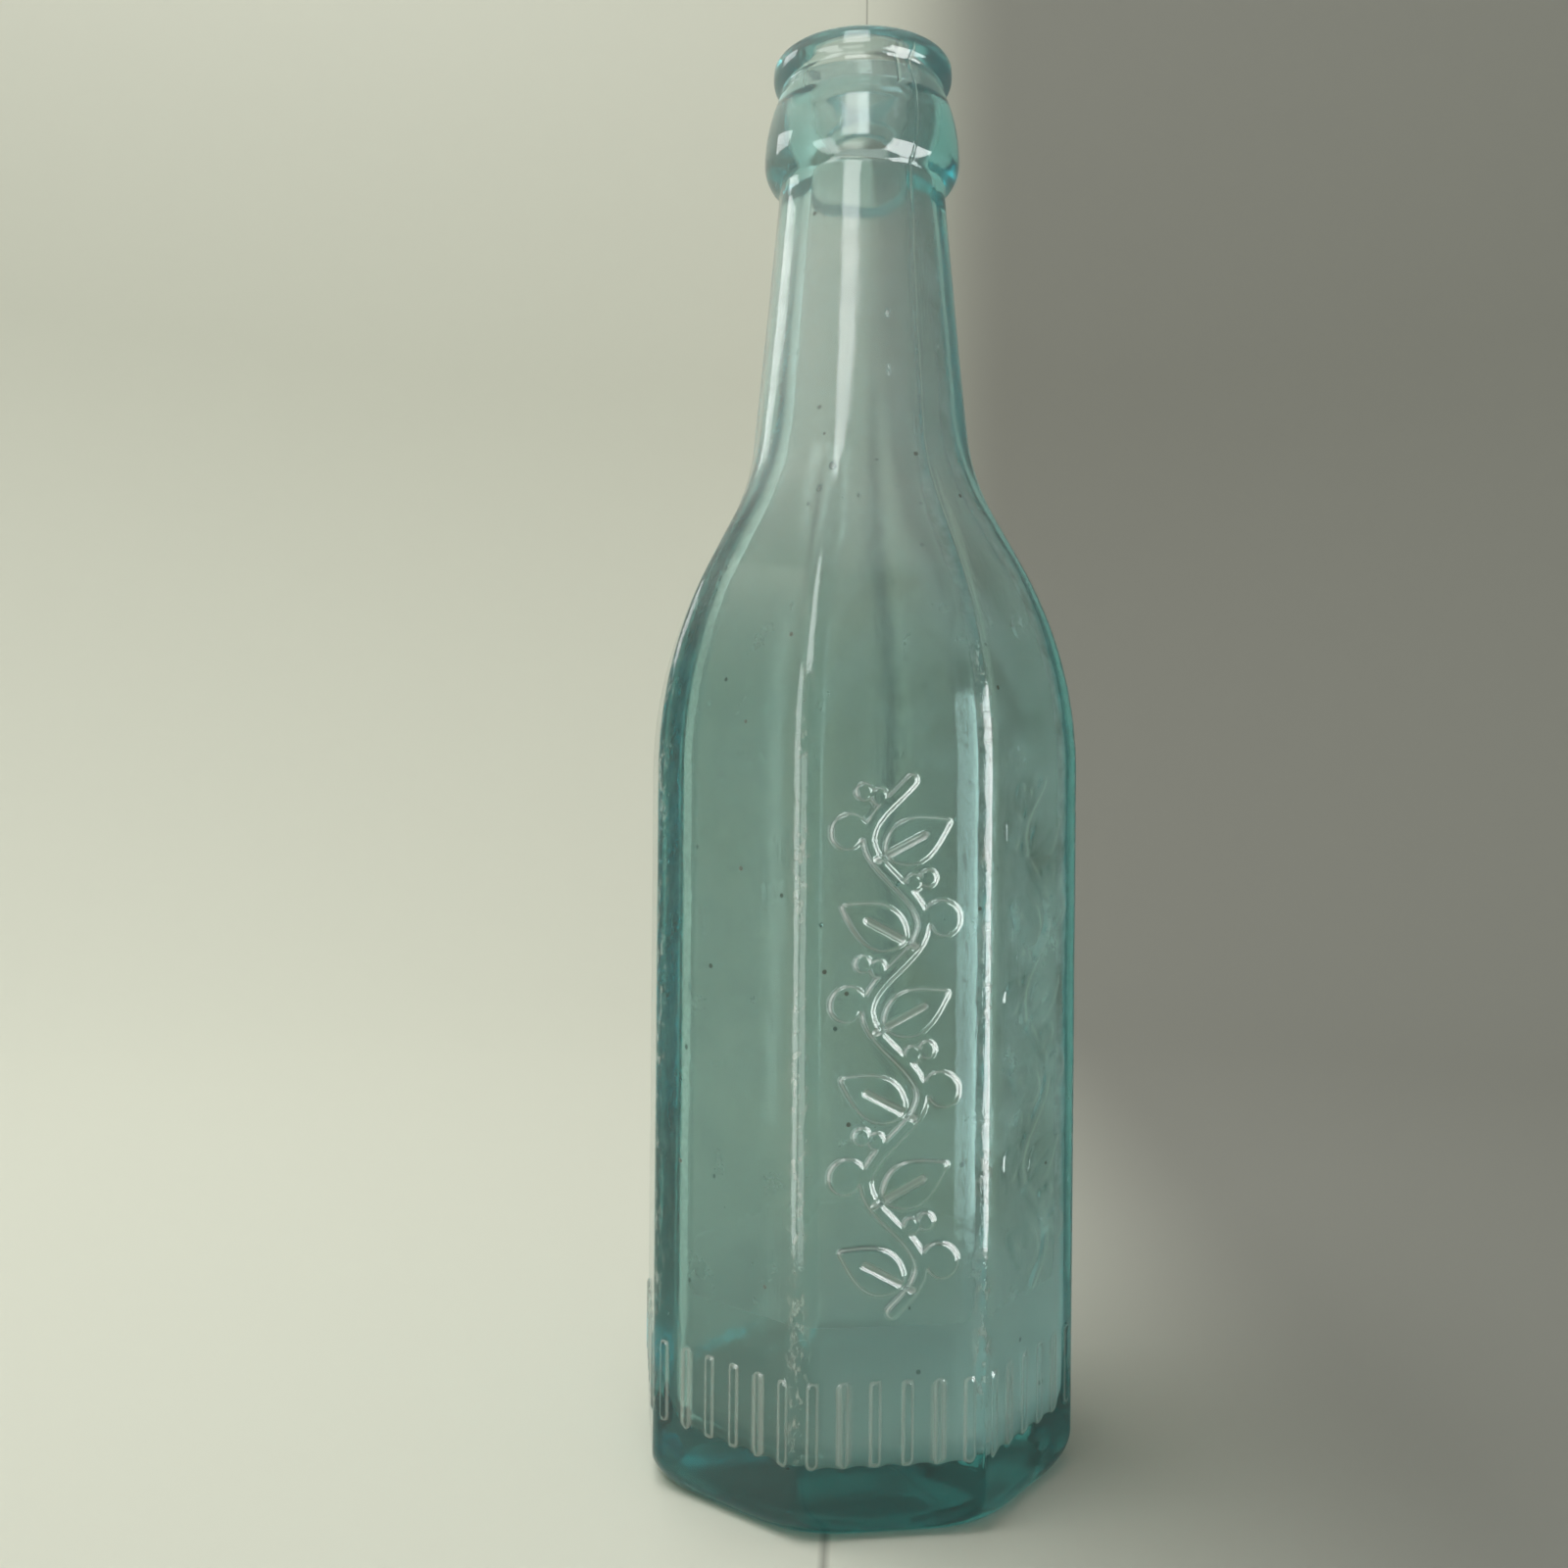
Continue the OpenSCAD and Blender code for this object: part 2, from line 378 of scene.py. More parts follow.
def skin(bm, rows, angles, inside):
    """Adds rows of quads to a mesh and returns the rings of vertices."""
    layer = bm.verts.layers.float["inside"]
    at_corner = bm.verts.layers.float["corner"]
    off_corner = HALF_SIDE - np.abs((angles + HALF_SIDE) % (2 * HALF_SIDE) - HALF_SIDE)
    nearness = np.exp(-(off_corner / CORNER_REACH) ** 2)
    rings = []
    for z, panel, corner in rows:
        r = ring(panel, corner, angles)
        across, away = r * np.cos(angles), r * np.sin(angles)
        # Blown glass is never even: the wall on the left is over a millimetre thicker.
        moved = 1 - inside * left_wall_share * (1 - ease(z, *WALL_EVENS_OUT))
        across = np.where(across < 0, across * moved, across)
        made = [bm.verts.new((x * MM, y * MM, z * MM)) for x, y in zip(across, away)]
        for v, near in zip(made, nearness):
            v[layer] = inside
            v[at_corner] = near * (1 - inside)
        rings.append(made)
    fill_strips(bm, rings)
    return rings


def close_pole(bm, ring_verts, z, inside):
    """Closes the middle of the base or the floor with a fan round one vertex."""
    mid = bm.verts.new((0, 0, z * MM))
    mid[bm.verts.layers.float["inside"]] = inside
    n = len(ring_verts)
    for i in range(n):
        bm.faces.new((ring_verts[i], ring_verts[(i + 1) % n], mid))


bm = bmesh.new()
bm.verts.layers.float.new("inside")
bm.verts.layers.float.new("corner")
outside_rings = skin(bm, outer_rows[1:], outside_angles, 0.0)
inside_rings = skin(bm, inner_rows[:-1], inside_angles, 1.0)
close_pole(bm, outside_rings[0], outer_rows[0][0], 0.0)
close_pole(bm, inside_rings[-1], inner_rows[-1][0], 1.0)
rims = [e for pair in (outside_rings[-1], inside_rings[0])
        for e in {bm.edges.get((pair[i - 1], pair[i])) for i in range(len(pair))}]
bmesh.ops.bridge_loops(bm, edges=rims)
bmesh.ops.recalc_face_normals(bm, faces=bm.faces)
open_edges = sum(not e.is_manifold for e in bm.edges)
glass_cm3 = bm.calc_volume() / (10 * MM) ** 3
print("skin:", len(bm.faces), "faces,", open_edges, "open edges,", round(glass_cm3, 1), "cm3 of glass")

# %% Finer squares where the mould carries ornament
# The ornament's lines are about a millimetre wide, so only the squares under it
# are cut into small ones.
REED_LOW, REED_HIGH = 10.0, 19.5
NEAR_PANEL = -0.93 * body_flat     # beyond this line a point lies on the panel that faces -Y


def facing(face, azimuth):
    """Middle of a face as (across, height), if it lies on the outer panel that faces an azimuth."""
    turn = Matrix.Rotation(math.radians(-90 - azimuth), 3, "Z")
    c = turn @ face.calc_center_median() / MM
    outside = face.verts[0][bm.verts.layers.float["inside"]] < 0.5
    return (c.x, c.z) if outside and c.y < NEAR_PANEL else (math.inf, 0.0)


def refine(test, cuts):
    """Cuts the squares that pass a test into small ones."""
    edges = {e for f in bm.faces if test(f) for e in f.edges}
    bmesh.ops.subdivide_edges(bm, edges=list(edges), cuts=cuts, use_grid_fill=True)


def under_vine(azimuth):
    """A test for the squares under the vine on one panel."""
    def test(face):
        across, height = facing(face, azimuth)
        return abs(across) < VINE_REACH and VINE_LOW - 1 < height < VINE_HIGH + 1
    return test


def under_reeds(face):
    """True for the outer squares in the row of reeds and 1.5 mm beyond it."""
    height = face.calc_center_median().z / MM
    outside = face.verts[0][bm.verts.layers.float["inside"]] < 0.5
    return outside and REED_LOW - 1.5 < height < REED_HIGH + 1.5


refine(under_vine(-90), cuts=9)
refine(under_vine(-45), cuts=5)
refine(under_reeds, cuts=3)
print("refined skin:", len(bm.faces), "faces,", sum(len(f.verts) - 2 for f in bm.faces), "triangles")

# %% A mesh to press


def in_scene(name, data):
    """A new object in the scene, made of a mesh, a lamp or a camera."""
    made = bpy.data.objects.new(name, data)
    bpy.context.scene.collection.objects.link(made)
    return made


mesh = bpy.data.meshes.new("bottle_glass")
bm.to_mesh(mesh)
bm.free()
blank = in_scene("blank", mesh)
print("blank to press:", len(mesh.vertices), "points")

# %% [markdown]
# ## What the mould pressed into the glass
#
# A raised ornament runs up the front panel: a generic vine with leaves and
# berries. A row of short reeds goes round the heel, and a thin seam shows where
# the mould's halves met. All of it follows a path and repeats, so Geometry Nodes
# draws it as lines and then lifts each point of the skin by its distance from
# the nearest line. The same tree adds the slow waves of blown glass.


# %% One helper for every node in this lesson
def add(tree, kind, inputs=None, **settings):
    """Adds a node, sets its properties, and gives its inputs values or links. A node given as an
    input stands for its first output. A list is for an input that takes several links."""
    node = tree.nodes.new(kind)
    for name, value in settings.items():
        setattr(node, name, value)
    for key, value in (inputs or {}).items():
        for source in value if isinstance(value, list) else [value]:
            if isinstance(source, bpy.types.Node):
                source = source.outputs[0]
            if isinstance(source, bpy.types.NodeSocket):
                tree.links.new(source, node.inputs[key])
            else:
                node.inputs[key].default_value = source
    return node


print("one helper:", add.__name__)

# %% The tree and its named sizes


def new_tree(name, sizes):
    """Makes a Geometry Nodes tree that takes a mesh, a material and named sizes. Returns it with
    the outputs of its input node."""
    tree = bpy.data.node_groups.new(name, "GeometryNodeTree")
    tree.interface.new_socket("Geometry", in_out="INPUT", socket_type="NodeSocketGeometry")
    tree.interface.new_socket("Glass", in_out="INPUT", socket_type="NodeSocketMaterial")
    for size in sizes:
        tree.interface.new_socket(size, in_out="INPUT", socket_type="NodeSocketFloat")
    tree.interface.new_socket("Geometry", in_out="OUTPUT", socket_type="NodeSocketGeometry")
    return tree, add(tree, "NodeGroupInput").outputs


relief_sizes = {
    "Wave length": 22.0 * MM,        # of the vine's stem
    "Wave reach": 3.6 * MM,
    "Leaf length": 8.8 * MM,
    "Leaf width": 5.0 * MM,
    "Berry radius": 0.7 * MM,
    "Stem width": 2.0 * MM,
    "Rim width": 1.3 * MM,
    "Ridge flank": 0.5 * MM,
    "Vine height": 0.5 * MM,
    "Side vine height": 0.16 * MM,
    "Reed width": 1.7 * MM,
    "Reed height": 0.28 * MM,
    "Seam width": 0.55 * MM,
    "Seam height": 0.13 * MM,
    "Outer waves": 0.07 * MM,
    "Inner waves": 0.22 * MM,
}
relief, given = new_tree("pressed_relief", relief_sizes)
print("relief tree with", len(relief_sizes), "sizes")

# %% Stem of the vine, drawn on the flat plane of x and y
here = add(relief, "GeometryNodeInputPosition")
drawn_h = add(relief, "ShaderNodeSeparateXYZ", {0: here}).outputs["Y"]
risen = add(relief, "ShaderNodeMath", {0: drawn_h, 1: VINE_LOW * MM}, operation="SUBTRACT")
turns = add(relief, "ShaderNodeMath", {0: risen, 1: given["Wave length"]}, operation="DIVIDE")
phase = add(relief, "ShaderNodeMath", {0: turns, 1: 2 * math.pi}, operation="MULTIPLY")
swing = add(relief, "ShaderNodeMath", {0: phase}, operation="SINE")
sway = add(relief, "ShaderNodeMath", {0: swing, 1: given["Wave reach"]}, operation="MULTIPLY")
on_stem = add(relief, "ShaderNodeCombineXYZ", {"X": sway, "Y": drawn_h})
STEM_POINTS = 200
stem = add(relief, "GeometryNodeMeshLine", {
    "Count": STEM_POINTS, "Start Location": (0, VINE_LOW * MM, 0),
    "Offset": (0, (VINE_HIGH - VINE_LOW) / (STEM_POINTS - 1) * MM, 0)})
stem = add(relief, "GeometryNodeSetPosition", {"Geometry": stem, "Position": on_stem})
print("stem from", VINE_LOW, "to", VINE_HIGH, "mm above the base")

# %% One leaf, its midrib and one curl
STALK = 1.6 * MM                   # from the stem to the leaf
LEAF_POWER = 0.75                  # below 1, the leaf is widest on its half nearer the stem
RIB_LENGTH = 0.8                   # of the leaf's length, measured from the stem
leaf = add(relief, "GeometryNodeMeshGrid", {
    "Size X": 1.0, "Size Y": 1.0, "Vertices X": 3, "Vertices Y": 17})
on_leaf = add(relief, "ShaderNodeSeparateXYZ", {0: leaf.outputs["UV Map"]})
# A sine of the way along gives the leaf two points, and the power moves its widest part.
along = add(relief, "ShaderNodeMath", {0: on_leaf.outputs["Y"], 1: LEAF_POWER}, operation="POWER")
along = add(relief, "ShaderNodeMath", {0: along, 1: math.pi}, operation="MULTIPLY")
swell = add(relief, "ShaderNodeMath", {0: along}, operation="SINE")
half = add(relief, "ShaderNodeMath", {0: swell, 1: given["Leaf width"]}, operation="MULTIPLY")
aside = add(relief, "ShaderNodeMath", {0: on_leaf.outputs["X"], 1: 0.5}, operation="SUBTRACT")
leaf_x = add(relief, "ShaderNodeMath", {0: aside, 1: half}, operation="MULTIPLY")
leaf_y = add(relief, "ShaderNodeMath", {
    0: on_leaf.outputs["Y"], 1: given["Leaf length"], 2: STALK}, operation="MULTIPLY_ADD")
leaf = add(relief, "GeometryNodeSetPosition", {
    "Geometry": leaf.outputs["Mesh"],
    "Position": add(relief, "ShaderNodeCombineXYZ", {"X": leaf_x, "Y": leaf_y})})
rib_step = add(relief, "ShaderNodeMath", {0: given["Leaf length"], 1: RIB_LENGTH}, operation="MULTIPLY")
rib = add(relief, "GeometryNodeMeshLine", {
    "Count": 2, "Offset": add(relief, "ShaderNodeCombineXYZ", {"Y": rib_step})})
CURL_AT = (2.6, 0.6)               # out from the stem and up
curl = add(relief, "GeometryNodeCurveSpiral", {
    "Resolution": 24, "Rotations": 1.4, "Start Radius": 2.1 * MM, "End Radius": 0.5 * MM,
    "Height": 0.0})
curl = add(relief, "GeometryNodeCurveToMesh", {0: curl})
curl = add(relief, "GeometryNodeTransform", {
    "Geometry": curl, "Rotation": (0, 0, math.pi),
    "Translation": (CURL_AT[0] * MM, CURL_AT[1] * MM, 0)})
print("a leaf of", round(relief_sizes["Leaf length"] / MM, 1), "mm on a stalk of", STALK / MM, "mm")

# %% Leaves in the hollows of the stem, curls and berries on its crests
HALF_WAVES, LEAF_TILT = 6, math.radians(62)
half_wave = add(relief, "ShaderNodeMath", {0: given["Wave length"], 1: 0.5}, operation="MULTIPLY")
half_step = add(relief, "ShaderNodeCombineXYZ", {"Y": half_wave})
count = add(relief, "GeometryNodeInputIndex")
odd = add(relief, "ShaderNodeMath", {0: count, 1: 2.0}, operation="MODULO")
side = add(relief, "ShaderNodeMath", {0: odd, 1: -2.0, 2: 1.0}, operation="MULTIPLY_ADD")
tilt = add(relief, "ShaderNodeMath", {0: side, 1: LEAF_TILT}, operation="MULTIPLY")
spots = []
for share in (0.125, 0.25):        # of a wave: halfway up its side, and its crest
    start = add(relief, "ShaderNodeMath", {
        0: given["Wave length"], 1: share, 2: VINE_LOW * MM}, operation="MULTIPLY_ADD")
    row = add(relief, "GeometryNodeMeshLine", {
        "Count": HALF_WAVES, "Start Location": add(relief, "ShaderNodeCombineXYZ", {"Y": start}),
        "Offset": half_step})
    spots.append(add(relief, "GeometryNodeSetPosition", {"Geometry": row, "Position": on_stem}))
leaf_turn = add(relief, "ShaderNodeCombineXYZ", {"Z": tilt})
mirror = add(relief, "ShaderNodeCombineXYZ", {"X": side, "Y": 1.0, "Z": 1.0})
leaves, ribs = (add(relief, "GeometryNodeInstanceOnPoints", {
    "Points": spots[0], "Instance": part, "Rotation": leaf_turn}) for part in (leaf, rib))
curls = add(relief, "GeometryNodeInstanceOnPoints", {
    "Points": spots[1], "Instance": curl, "Scale": mirror})
berry = add(relief, "GeometryNodeMeshCircle", {
    "Vertices": 20, "Radius": given["Berry radius"]}, fill_type="NGON")
fruit = [leaves]
BERRIES_AT = (CURL_AT, (0.6, 6.0), (-1.3, 5.4))    # out from each crest of the stem and up
for out, up in BERRIES_AT:
    shift = add(relief, "ShaderNodeCombineXYZ", {
        "X": add(relief, "ShaderNodeMath", {0: side, 1: out * MM}, operation="MULTIPLY"),
        "Y": up * MM})
    moved = add(relief, "GeometryNodeSetPosition", {"Geometry": spots[1], "Offset": shift})
    berries = add(relief, "GeometryNodeInstanceOnPoints", {"Points": moved, "Instance": berry})
    fruit.append(berries)
shapes = add(relief, "GeometryNodeJoinGeometry", {0: fruit})
lines = add(relief, "GeometryNodeJoinGeometry", {0: [stem, curls]})
lines, shapes, ribs = (add(relief, "GeometryNodeRealizeInstances", {0: drawn})
                       for drawn in (lines, shapes, ribs))
print("vine drawn;", len(relief.nodes), "nodes so far")

# %% Reeds: six short upright lines on every side of an octagon
REEDS_PER_SIDE = 6
octagon = add(relief, "GeometryNodeCurvePrimitiveCircle", {
    "Resolution": SIDES, "Radius": body_flat * CORNER * MM})
octagon = add(relief, "GeometryNodeTransform", {
    "Geometry": octagon, "Rotation": (0, 0, HALF_SIDE), "Translation": (0, 0, REED_LOW * MM)})
octagon = add(relief, "GeometryNodeResampleCurve", {
    "Curve": octagon, "Count": REEDS_PER_SIDE * SIDES})
octagon = add(relief, "GeometryNodeCurveToMesh", {0: octagon})
feet = add(relief, "GeometryNodeMeshToPoints", {"Mesh": octagon}, mode="EDGES")
reed = add(relief, "GeometryNodeMeshLine", {
    "Count": 2, "Offset": (0, 0, (REED_HIGH - REED_LOW) * MM)})
reeds = add(relief, "GeometryNodeInstanceOnPoints", {"Points": feet, "Instance": reed})
reeds = add(relief, "GeometryNodeRealizeInstances", {0: reeds})
print(REEDS_PER_SIDE * SIDES, "reeds")

# %% How far each point of the skin stands from the drawing
RIB_SHARE = -0.7                   # the midrib is a groove this deep in the leaf


def ridge(drawing, target, spot, width):
    """Rise of a ridge with a flat crown along a drawing, from 0 to 1, at every point of the skin."""
    near = add(relief, "GeometryNodeProximity", {0: drawing, "Sample Position": spot},
               target_element=target).outputs["Distance"]
    foot = add(relief, "ShaderNodeMath", {0: given[width], 1: 0.5}, operation="MULTIPLY")
    crown = add(relief, "ShaderNodeMath", {0: foot, 1: given["Ridge flank"]}, operation="SUBTRACT")
    return add(relief, "ShaderNodeMapRange", {
        "Value": near, "From Min": crown, "From Max": foot, "To Min": 1.0, "To Max": 0.0},
        interpolation_type="SMOOTHSTEP")


height = add(relief, "ShaderNodeSeparateXYZ", {0: here}).outputs["Z"]
reed_rise = ridge(reeds, "EDGES", here, "Reed width")
raised = reed_rise
lifts = [add(relief, "ShaderNodeMath", {
    0: reed_rise, 1: given["Reed height"]}, operation="MULTIPLY")]
# The vine on the front panel, and a shallower one on the panel to its right
for turn, lift in ((0, given["Vine height"]), (-45, given["Side vine height"])):
    panel = add(relief, "ShaderNodeSeparateXYZ", {0: add(
        relief, "ShaderNodeVectorRotate", {"Vector": here, "Angle": math.radians(turn)},
        rotation_type="Z_AXIS")})
    spot = add(relief, "ShaderNodeCombineXYZ", {"X": panel.outputs["X"], "Y": panel.outputs["Z"]})
    on_panel = add(relief, "ShaderNodeMath", {
        0: panel.outputs["Y"], 1: NEAR_PANEL * MM}, operation="LESS_THAN")
    both = add(relief, "ShaderNodeMath", {
        0: ridge(lines, "EDGES", spot, "Stem width"), 1: ridge(shapes, "FACES", spot, "Rim width")},
        operation="MAXIMUM")
    groove = ridge(ribs, "EDGES", spot, "Rim width")
    both = add(relief, "ShaderNodeMath", {
        0: groove, 1: RIB_SHARE, 2: both}, operation="MULTIPLY_ADD")
    both = add(relief, "ShaderNodeMath", {0: both, 1: on_panel}, operation="MULTIPLY")
    if turn == 0:
        raised = add(relief, "ShaderNodeMath", {0: raised, 1: both}, operation="MAXIMUM")
    lifts.append(add(relief, "ShaderNodeMath", {0: both, 1: lift}, operation="MULTIPLY"))
print(len(lifts), "kinds of relief")

# %% Mould seam at two opposite corners, a little unsteady
SEAM_AT = -67.5                    # degrees round the bottle, the corner right of the front panel
SEAM_BENDS = 140.0                 # per metre: its line bends about every 7 mm
SEAM_STRAYS = 0.8 * MM
bends = add(relief, "ShaderNodeMath", {0: height, 1: SEAM_BENDS}, operation="MULTIPLY")
wander = add(relief, "ShaderNodeTexNoise", {"W": bends, "Scale": 1.0}, noise_dimensions="1D")
wander = add(relief, "ShaderNodeMath", {0: wander, 1: 0.5}, operation="SUBTRACT")
across_seam = add(relief, "ShaderNodeSeparateXYZ", {0: add(
    relief, "ShaderNodeVectorRotate", {"Vector": here, "Angle": math.radians(90 - SEAM_AT)},
    rotation_type="Z_AXIS")}).outputs["X"]
shifted = add(relief, "ShaderNodeMath", {
    0: wander, 1: SEAM_STRAYS, 2: across_seam}, operation="MULTIPLY_ADD")
off_seam = add(relief, "ShaderNodeMath", {0: shifted}, operation="ABSOLUTE")
seam_half = add(relief, "ShaderNodeMath", {0: given["Seam width"], 1: 0.5}, operation="MULTIPLY")
seam_rise = add(relief, "ShaderNodeMapRange", {
    "Value": off_seam, "From Min": 0.0, "From Max": seam_half, "To Min": given["Seam height"], "To Max": 0.0},
    interpolation_type="SMOOTHSTEP")
lifts.append(seam_rise)
print("seam at", SEAM_AT, "degrees and opposite")

# %% Slow waves of the glass, and everything put together
# Waves of about 13 mm outside, where the mould chilled the glass, and 19 mm inside
slow = add(relief, "ShaderNodeTexNoise", {"Vector": here, "Scale": 1000 / 13, "Detail": 1.0})
slow = add(relief, "ShaderNodeMath", {0: slow, 1: 0.5}, operation="SUBTRACT")
slow_inside = add(relief, "ShaderNodeTexNoise", {
    "Vector": here, "Scale": 1000 / 19, "Detail": 1.0})
slow_inside = add(relief, "ShaderNodeMath", {0: slow_inside, 1: 0.5}, operation="SUBTRACT")
total = add(relief, "ShaderNodeMath", {0: slow, 1: given["Outer waves"]}, operation="MULTIPLY")
for rise in lifts:
    total = add(relief, "ShaderNodeMath", {0: total, 1: rise}, operation="ADD")
inside_waves = add(relief, "ShaderNodeMath", {
    0: slow_inside, 1: given["Inner waves"]}, operation="MULTIPLY")
inside = add(relief, "GeometryNodeInputNamedAttribute", {"Name": "inside"}, data_type="FLOAT")
total = add(relief, "ShaderNodeMix", {"Factor": inside, "A": total, "B": inside_waves})
# The resting ring stays flat, because the bottle stands on it, and so does the top of the lip.
above_base = add(relief, "ShaderNodeMapRange", {
    "Value": height, "From Min": 0.5 * MM, "From Max": 3.0 * MM})
below_top = add(relief, "ShaderNodeMapRange", {
    "Value": height, "From Min": (bottle_h - 1.2) * MM, "From Max": (bottle_h - 0.3) * MM,
    "To Min": 1.0, "To Max": 0.0})
for limit in (above_base, below_top):
    total = add(relief, "ShaderNodeMath", {0: total, 1: limit}, operation="MULTIPLY")
# The glass needs to know later where it was raised, so that is kept as an attribute.
outside = add(relief, "ShaderNodeMath", {0: 1.0, 1: inside}, operation="SUBTRACT")
raised = add(relief, "ShaderNodeMath", {0: raised, 1: outside}, operation="MULTIPLY")
marked = add(relief, "GeometryNodeStoreNamedAttribute", {
    "Geometry": given["Geometry"], "Name": "raised", "Value": raised},
    data_type="FLOAT", domain="POINT")
normal = add(relief, "GeometryNodeInputNormal")
push = add(relief, "ShaderNodeVectorMath", {0: normal, "Scale": total}, operation="SCALE")
pressed = add(relief, "GeometryNodeSetPosition", {"Geometry": marked, "Offset": push})
pressed = add(relief, "GeometryNodeRealizeInstances", {0: pressed})
pressed = add(relief, "GeometryNodeSetMaterial", {0: pressed, "Material": given["Glass"]})
add(relief, "NodeGroupOutput", {0: pressed})
print("relief tree:", len(relief.nodes), "nodes")

# %% [markdown]
# ## The glass
#
# Aqua glass is ordinary soda-lime glass with a trace of iron, which takes out
# red light. A thin coloured shell could stand for it, but it would look like
# tinted plastic. In real glass the colour grows with the length that light
# travels inside, pale through the walls and deep at the edges and in the base.
# Volume absorption does exactly that, so the surface itself stays colourless.

# %% Colour of the glass


def linear(hexa):
    """A hex colour as the eye sees it, turned to the linear values that light adds up in."""
    c = [int(hexa[i:i + 2], 16) / 255 for i in (1, 3, 5)]
    return tuple(x / 12.92 if x <= 0.04045 else ((x + 0.055) / 1.055) ** 2.4 for x in c) + (1,)


def new_material(name):
    """An empty material and its node tree."""
    material = bpy.data.materials.new(name)
    material.use_nodes = True
    material.node_tree.nodes.clear()
    return material, material.node_tree


# What a metre of the glass takes from red, green and blue, as powers of e
TAKES = (60.0, 17.0, 15.0)
glass, tree = new_material("aqua_soda_lime_glass_mould_blown")
where = add(tree, "ShaderNodeTexCoord").outputs["Object"]
inner_side = add(tree, "ShaderNodeAttribute", attribute_name="inside").outputs["Fac"]
at_corner = add(tree, "ShaderNodeAttribute", attribute_name="corner").outputs["Fac"]
raised = add(tree, "ShaderNodeAttribute", attribute_name="raised").outputs["Fac"]
rise = add(tree, "ShaderNodeSeparateXYZ", {0: where}).outputs["Z"]
passed = [round(math.exp(-take * 2 * wall * MM), 2) for take in TAKES]
print("two walls let through", passed, "of red, green and blue")

# %% [markdown]
# ## What years of use left on it
#
# An old bottle isn't clear all over. Water has stained it inside, its neck is
# dulled by hands and its corners by crates. Each of these scatters a share of
# the light at the surface, so it is mixed in as haze: 0 is clear glass, and 1
# would be chalk. The shares come from noise at real sizes and from the height.
# Some of it is painted light and shade: the pale inside floor and the pale sides
# of the relief are painted light, and the darker colour of the body's haze is
# painted shade.

# %% Stain inside, and painted light on the floor
# Clouds of 5 to 15 mm, with a grain of under a millimetre
clouds = add(tree, "ShaderNodeTexNoise", {
    "Vector": where, "Scale": 1000 / 12, "Detail": 7.0, "Roughness": 0.68})
stain = add(tree, "ShaderNodeMapRange", {
    "Value": clouds, "From Min": 0.36, "From Max": 0.66, "To Min": 0.02, "To Max": 0.34})
# Dried dregs whiten the inside floor and, ever thinner, the foot of the wall. The whitening is also painted
# light, which stands in for light reaching the base from below.
dregs_and_painted_light = add(tree, "ShaderNodeMapRange", {
    "Value": rise, "From Min": 8 * MM, "From Max": 55 * MM, "To Min": 0.46, "To Max": 0.0},
    interpolation_type="SMOOTHSTEP")
stain = add(tree, "ShaderNodeMath", {0: stain, 1: dregs_and_painted_light}, operation="MAXIMUM")
# The neck was rinsed cleaner than the body.
neck_share = add(tree, "ShaderNodeMapRange", {
    "Value": rise, "From Min": 104 * MM, "From Max": 160 * MM},
    interpolation_type="SMOOTHSTEP")
cleaner = add(tree, "ShaderNodeMath", {
    0: neck_share, 1: -0.65, 2: 1.0}, operation="MULTIPLY_ADD")
stain = add(tree, "ShaderNodeMath", {0: stain, 1: cleaner}, operation="MULTIPLY")
print("stain inside:", len(tree.nodes), "nodes so far")

# %% Wear outside, and painted highlights on the relief
# Hands dulled the neck, and caps kept the collar and lip a little brighter. The neck's haze ends
# just under a quarter. Past that, Cycles removes noise in another way, which leaves a line.
finish_share = add(tree, "ShaderNodeMapRange", {
    "Value": rise, "From Min": 172 * MM, "From Max": 182 * MM},
    interpolation_type="SMOOTHSTEP")
handled = add(tree, "ShaderNodeMix", {"Factor": neck_share, "A": 0.03, "B": 0.245})
handled = add(tree, "ShaderNodeMix", {"Factor": finish_share, "A": handled, "B": 0.12})
# Corners rub against crates: specks of rough glass under a millimetre long, here and there.
rubbed = add(tree, "ShaderNodeTexNoise", {
    "Vector": add(tree, "ShaderNodeMapping", {"Vector": where, "Scale": (1.0, 1.0, 0.5)}),
    "Scale": 1000 / 0.8, "Detail": 3.0, "Roughness": 0.7})
scuffs = add(tree, "ShaderNodeMath", {0: rubbed, 1: at_corner}, operation="MULTIPLY")
rubbed = add(tree, "ShaderNodeMapRange", {
    "Value": rubbed, "From Min": 0.50, "From Max": 0.60, "To Min": 0.0, "To Max": 0.55})
spared = add(tree, "ShaderNodeMapRange", {
    "Value": clouds, "From Min": 0.36, "From Max": 0.52})
above_heel = add(tree, "ShaderNodeMapRange", {
    "Value": rise, "From Min": 8 * MM, "From Max": 14 * MM})
below_neck = add(tree, "ShaderNodeMapRange", {
    "Value": rise, "From Min": 110 * MM, "From Max": 130 * MM, "To Min": 1.0, "To Max": 0.0})
for limit in (above_heel, below_neck):
    spared = add(tree, "ShaderNodeMath", {0: spared, 1: limit}, operation="MULTIPLY")
for limit in (spared, at_corner):
    rubbed = add(tree, "ShaderNodeMath", {0: rubbed, 1: limit}, operation="MULTIPLY")
# The sides of what was pressed get a pale haze. It is a painted highlight that outlines the relief as bright
# reflections would. The haze
# is raised * (1 - raised): none on the flat glass, none on a crown, and most halfway up.
fallen = add(tree, "ShaderNodeMath", {0: 1.0, 1: raised}, operation="SUBTRACT")
painted_flank_highlight = add(tree, "ShaderNodeMath", {0: raised, 1: fallen}, operation="MULTIPLY")
painted_flank_highlight = add(tree, "ShaderNodeMath", {0: painted_flank_highlight, 1: 1.5}, operation="MULTIPLY")
wear_and_flank_highlight = handled
for mark in (rubbed, painted_flank_highlight):
    wear_and_flank_highlight = add(tree, "ShaderNodeMath", {0: wear_and_flank_highlight, 1: mark}, operation="MAXIMUM")
print("wear outside:", len(tree.nodes), "nodes so far")

